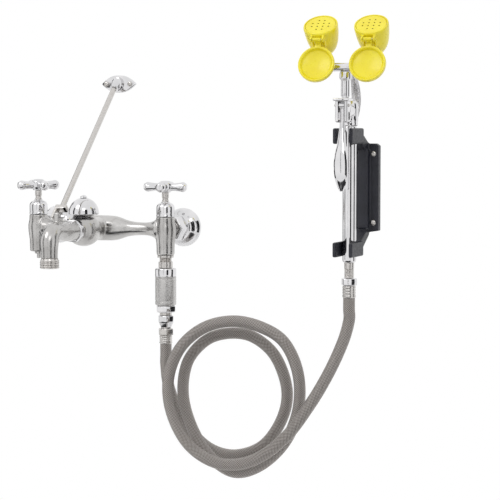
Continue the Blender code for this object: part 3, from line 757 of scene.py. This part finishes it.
def check_valve_stack():
    place = at(INLET_X, VALVE_Y)
    adapter = [(0, -0.0540), (0.0094, -0.0540), (0.0100, -0.0534), (0.0100, -0.0455)]
    adapter += thread(0.0086, -0.0450, -0.0398, 0.0014, 0.0008) + [(0.0115, -0.0394), (0.0115, -0.0363),
                                                                   (0, -0.0363)]
    machined("outlet_adapter", turned(adapter), place, STEEL, 0.0002)
    cap = [(0, -0.0660), (0.0150, -0.0660), (0.0150, -0.0565)] + arc(0.0018, -0.0562, 10, 80, 4, 0.0131)
    machined("check_valve_cap", turned(cap + [(0.0110, -0.0543), (0, -0.0543)]), place, CHROME, 0.0002)
    sleeve = [(0, -0.1065), (0.0136, -0.1065), (0.0148, -0.1050), (0.0148, -0.1010), (0.0145, -0.1006),
              (0.0145, -0.1000), (0.0148, -0.0996), (0.0148, -0.0700), (0.0145, -0.0696), (0.0145, -0.0690),
              (0.0148, -0.0686), (0.0148, -0.0663), (0, -0.0663)]
    machined("check_valve_body", turned(sleeve), place, KNURL, 0.00015)
    hexes = (("check_valve_nut", -0.1165, -0.1068, 0.0147, CHROME),
             ("faucet_end_hex", -0.1490, -0.1395, 0.0112, STEEL))
    for node, low, high, radius, finish in hexes:
        machined(node, hex_nut(radius, low, high), place, finish, 0.0003)
    machined("hose_nipple", turned([(0, -0.1208), (0.0085, -0.1208), (0.0085, -0.1168), (0, -0.1168)]),
             place, STEEL)
    swivel = [(0, -0.1392), (0.0078, -0.1392), (0.0084, -0.1370), (0.0112, -0.1312), (0.0118, -0.1300),
              (0.0118, -0.1220), (0.0110, -0.1211), (0, -0.1211)]
    machined("hose_swivel_nut", turned(swivel, 6), place, CHROME, 0.0005)


def hex_nut(radius, low, high, phase=0.0):
    """A hexagon with chamfered corners at both ends."""
    ease = 0.08 * radius
    return turned([(0, low), (radius - ease, low), (radius, low + ease), (radius, high - ease),
                   (radius - ease, high), (0, high)], 6, phase)


# Handset

def handset_tube():
    machined("handset_hose_nut", hex_nut(0.0110, -0.0690, -0.0593), HANDSET, CHROME, 0.0004)
    adapter = [(0, -0.0590)] + thread(0.0067, -0.0590, -0.0470, 0.0016, 0.0007)
    machined("tube_adapter", turned(adapter + [(0.0067, -0.0465), (0.0067, -0.0383), (0, -0.0383)]),
             HANDSET, STEEL,
             0.0001)
    tube = [(0, -0.0380), (0.0078, -0.0380), (0.0086, -0.0374), (0.0095, -0.0350), (0.0095, 0.1430),
            (0.0090, 0.1445), (0, 0.1447)]
    machined("handle_tube", turned(tube), HANDSET, CHROME, 0.0002)


def squeeze_valve():
    body = [(0, 0.145), (0.0100, 0.145), (0.0108, 0.1458), (0.0112, 0.1490), (0.0108, 0.1500),
            (0.0115, 0.1512),
            (0.0115, 0.1690)] + smooth_outline([(0.0114, 0.1705), (0.0105, 0.1755), (0.0080, 0.1785)], 4)
    boss = [(0, 0.0), (0.0095, 0.001), (0.0095, 0.024), (0.0090, 0.0245), (0.0090, 0.0255), (0.0095, 0.026),
            (0.0095, 0.030), (0.0080, 0.0315), (0, 0.0320)]
    pivot = at(*LEVER_PIVOT)
    solids = [(turned(body + [(0, 0.1798)]), HANDSET), (turned(boss), HANDSET @ at(0, 0, 0.165) @ FORWARD),
              (box((0.017, 0.020, 0.029), (0, -0.038, 0.1640), 0.0022, 4), HANDSET),
              (box((0.022, 0.024, 0.004), (0, -0.038, 0.1795), 0.0016, 4), HANDSET),
              (rod(0.0050, 0.170, 0.1835), HANDSET @ at(0, RISER_Y))]
    cuts = [(box((0.0086, 0.030, 0.0425), (0, -0.0500, 0.1560), 0.001), HANDSET),
            (box((0.030, 0.009, 0.011), (0, -0.0385, 0.1580), 0.002), HANDSET),
            (rod(0.0035, 0.016, 0.040), HANDSET @ at(0, 0, 0.1580) @ FORWARD),
            (rod(0.0022, -0.02, 0.02), HANDSET @ pivot @ SIDEWAYS)]
    stands_for(eased(built("squeeze_valve_fine", solids, cuts), 0.0003), "squeeze_valve_body", CHROME)
    plunger = [(0, 0.0205), (0.0031, 0.0205), (0.0031, 0.0380), (0.0026, 0.0388), (0, 0.0388)]
    machined("valve_plunger", turned(plunger, 32), HANDSET @ at(0, 0, 0.1580) @ FORWARD, STEEL, 0.0001)
    pin = [(0, -0.0105), (0.0013, -0.0104), (0.0019, -0.0098), (0.0019, 0.0098), (0.0013, 0.0104),
           (0, 0.0105)]
    machined("lever_pivot_pin", turned(pin, 24), HANDSET @ pivot @ SIDEWAYS, STEEL, 0.0001)
    lever()
    stations = [(0, 0.010, 0.2165, 0.0025), (0, 0.022, 0.209, 0.0045), (0, 0.032, 0.197, 0.0060),
                (0, 0.037, 0.182, 0.0065), (0, 0.036, 0.167, 0.0055), (0, 0.031, 0.155, 0.0040),
                (0, 0.025, 0.147, 0.0025)]
    solids = [(smooth_bar(stations, 5, 32, 0.7), HANDSET),
              (box((0.006, 0.022, 0.008), (0, 0.0240, 0.172), 0.0015), HANDSET)]
    stands_for(cast(built("rear_hook_fine", solids), 0.0006, 4), "rear_hook", ROUGH)


def lever():
    """The pressed lever: a channel with rolled edges, bowed away from the tube."""
    stations = [(0.0045, 0.0, 0.0036), (-0.0228, 0.0, 0.0036), (-0.036, -0.002, 0.0045),
                (-0.050, -0.005, 0.0060),
                (-0.064, -0.008, 0.0085), (-0.080, -0.009, 0.0097), (-0.095, -0.007, 0.0088),
                (-0.106, -0.004, 0.0062), (-0.113, -0.002, 0.0025)]
    fine = smooth_line([(half, bow, drop) for drop, bow, half in stations], 5)
    wall = 0.0013
    span = 9
    sections = []
    for half, bow, drop in fine:
        half = max(half, 0.0024)
        deep = min(half, 0.0045)
        angles = [math.pi * k / (span - 1) for k in range(span)]
        outer = [(-half * math.cos(a), bow + deep * (1 - math.sin(a) ** 0.6)) for a in angles]
        inner = [(-(half - wall) * math.cos(a), bow + deep - (deep - wall) * math.sin(a) ** 0.6)
                 for a in reversed(angles)]
        sections.append([Vector((x, y - 0.0015, drop)) for x, y in outer + inner])
    place = HANDSET @ at(*LEVER_PIVOT)
    solids = [(lofted(sections), place), (rod(0.0042, -0.0034, 0.0034), place @ SIDEWAYS)]
    made = built("squeeze_lever_fine", solids, [(rod(0.0022, -0.012, 0.012), place @ SIDEWAYS)])
    stands_for(eased(made, 0.0002), "squeeze_lever", CHROME)


def spray_heads():
    riser = [(0, 0.1838), (0.0062, 0.1838), (0.0062, 0.2045)] + smooth_outline(
        [(0.0063, 0.2050), (0.0078, 0.2070), (0.0082, 0.2100), (0.0080, 0.2150)], 4)
    machined("riser", turned(riser + [(0.0070, 0.2164), (0, 0.2164)]), HANDSET @ at(0, RISER_Y), CHROME,
             0.0002)
    cross = HANDSET @ at(0, RISER_Y, CROSS_Z) @ SIDEWAYS
    pipe = [(0, -0.0430), (0.0050, -0.0430), (0.0058, -0.0420), (0.0058, 0.0420), (0.0050, 0.0430),
            (0, 0.0430)]
    solids = [(turned(pipe, 48), cross)]
    solids += [(rod(0.0052, 0.0, 0.0142), HANDSET @ at(side * HEAD_X, RISER_Y, CROSS_Z)) for side in (-1, 1)]
    stands_for(eased(built("cross_pipe_fine", solids), 0.0003), "cross_pipe", CHROME)
    for side, sign in (("left", -1), ("right", 1)):
        spray_head(side, sign * HEAD_X)


def spray_head(side, x):
    """One cup with its ribs and hinge ears, its perforated face and its lid."""
    place = HANDSET @ at(x, RISER_Y, HEAD_Z) @ turn('X', HEAD_TILT)
    wall = smooth_outline([(0.0120, -0.0420), (0.0165, -0.0360), (0.0199, -0.0270), (0.0220, -0.0160),
                           (0.0230, -0.0060), (0.0232, -0.0020)], 4)
    cup = [(0, -0.0420)] + wall + [(0.0226, 0.0), (0.0207, 0.0), (0.0205, -0.0030), (0, -0.0030)]
    solids = [(turned(cup), place), (rod(0.0085, 0.0145, 0.034), HANDSET @ at(x, RISER_Y, CROSS_Z))]
    for ear in (-0.0078, 0.0078):
        solids.append((box((0.003, 0.0100, 0.0060), (ear, HINGE.y + 0.0025, HINGE.z), 0.0012), place))
        solids.append((box((0.0022, 0.0040, 0.016), (ear, -0.0205, -0.0140), 0.0007), place))
    cuts = [(rod(0.0014, -0.0088, 0.0088, 20), place @ Matrix.Translation(HINGE) @ SIDEWAYS)]
    stands_for(cast(built(f"{side}_spray_head_fine", solids, cuts), 0.0006, 3), f"{side}_spray_head", YELLOW)
    disc = [(0, -0.0027), (0.0202, -0.0027), (0.0202, -0.0008), (0.0199, -0.0006), (0, -0.0004)]
    holes = [(rod(0.0012, -0.0012, 0.01, 16), place @ at((k - (count - 1) / 2) * 0.0075, row))
             for row, count in ((0.0105, 2), (0.0035, 4), (-0.0035, 4), (-0.0105, 2)) for k in range(count)]
    face = built(f"{side}_spray_face_fine", [(turned(disc), place)], holes)
    face.data.shade_smooth()
    face.data.set_sharp_from_angle(angle=math.radians(30))
    stands_for(face, f"{side}_spray_face", YELLOW)
    for number, (row, k, count) in enumerate((row, k, count) for row, count in
                                             ((0.0105, 2), (0.0035, 4), (-0.0035, 4), (-0.0105, 2))
                                             for k in range(count)):
        plug = new_object(f"{side}_hole_{number}", rod(0.00125, -0.00125, -0.0010, 12),
                          place @ at((k - (count - 1) / 2) * 0.0075, row))
        plug.data.materials.append(SHADOW)
        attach(plug, "handset")
    pin = turned([(0, -0.0088), (0.0011, -0.0086), (0.0011, 0.0086), (0, 0.0088)], 20)
    machined(f"{side}_lid_pin", pin, place @ Matrix.Translation(HINGE) @ SIDEWAYS, STEEL, 0.0001)
    lid(side, Matrix.Translation(place @ HINGE) @ turn('Z', HANDSET_TURN) @ turn('X', LID_REST))


def lid(side, hinge):
    """A dust lid: a shallow dish with a rounded rim, hung from its knuckle."""
    radius = 0.0245
    rim = [(0, 0.0), (0.0215, 0.0)] + arc(0.0022, 0.0024, -75, 0, 5, radius - 0.0022)
    rim += [(radius, 0.0066)] + arc(0.0010, 0.0070, 10, 90, 4, 0.0235)
    rim += smooth_outline([(0.0222, 0.0078), (0.0210, 0.0066), (0.0200, 0.0044), (0.0186, 0.0034)],
                          4) + [(0, 0.0030)]
    solids = [(box((0.008, 0.0030, 0.0080), (0, 0.0080, -0.0055), 0.0009), hinge),
              (box((0.008, 0.0075, 0.0030), (0, 0.0040, -0.0012), 0.0009), hinge),
              (turned(rim), hinge @ at(0, 0.0145, -LID_DROP) @ FORWARD),
              (rod(0.0026, -0.0055, 0.0055), hinge @ SIDEWAYS)]
    cuts = [(rod(0.0014, -0.02, 0.02, 20), hinge @ SIDEWAYS)]
    stands_for(eased(built(f"{side}_lid_fine", solids, cuts), 0.0003), f"{side}_lid", YELLOW)


# Bracket

def wall_bracket():
    plate_x = TUBE.x - CLIP_X
    reach = -TUBE.y
    place = at(plate_x) @ FORWARD
    outline = [(-0.020, -0.004), (0.020, 0.002), (0.020, 0.118), (0.016, 0.121), (-0.016, 0.121),
               (-0.020, 0.118)]
    plate = lofted([[Vector((x, z, y)) for x, z in outline] for y in (0.0, 0.010)])
    solids = [(plate, place), (box((0.015, 0.110, 0.010), (0, 0.059, 0.0135), 0.003), place)]
    cuts = []
    for low, high in ((0.121, 0.142), (-0.030, -0.010)):
        level = (low + high) / 2
        near = 0.112 if level > 0 else 0.004
        square = ((-1, -0.008), (1, -0.008), (1, 0.008), (-1, 0.008))
        stations = ((0.003, near), (reach - 0.022, level), (reach - 0.012, level))
        neck = [[Vector((CLIP_X + sx * 0.008, z + sz, y)) for sx, sz in square] for y, z in stations]
        clip = box((0.028, high - low, 0.048), (CLIP_X, level, reach + 0.005), 0.002)
        solids += [(lofted(neck), place), (clip, place)]
        cuts += [(rod(0.0099, -0.2, 0.2, 48), at(TUBE.x, TUBE.y, level)),
                 (box((0.0185, 0.05, 0.03), (CLIP_X, level, reach + 0.017)), place)]
    stands_for(cast(built("wall_bracket_fine", solids, cuts), 0.0009, 3), "wall_bracket", BLACK)
    for level in ("top", "bottom"):
        for side in ("left", "right"):
            screw_head(f"bracket_screw_{level}_{side}", 0.0038, 0.0103)


camera()
hose()
faucet_body()
vacuum_breaker()
spout()
brace()
inlets()
valve_tops()
check_valve_stack()
handset_tube()
squeeze_valve()
spray_heads()
wall_bracket()
stage()
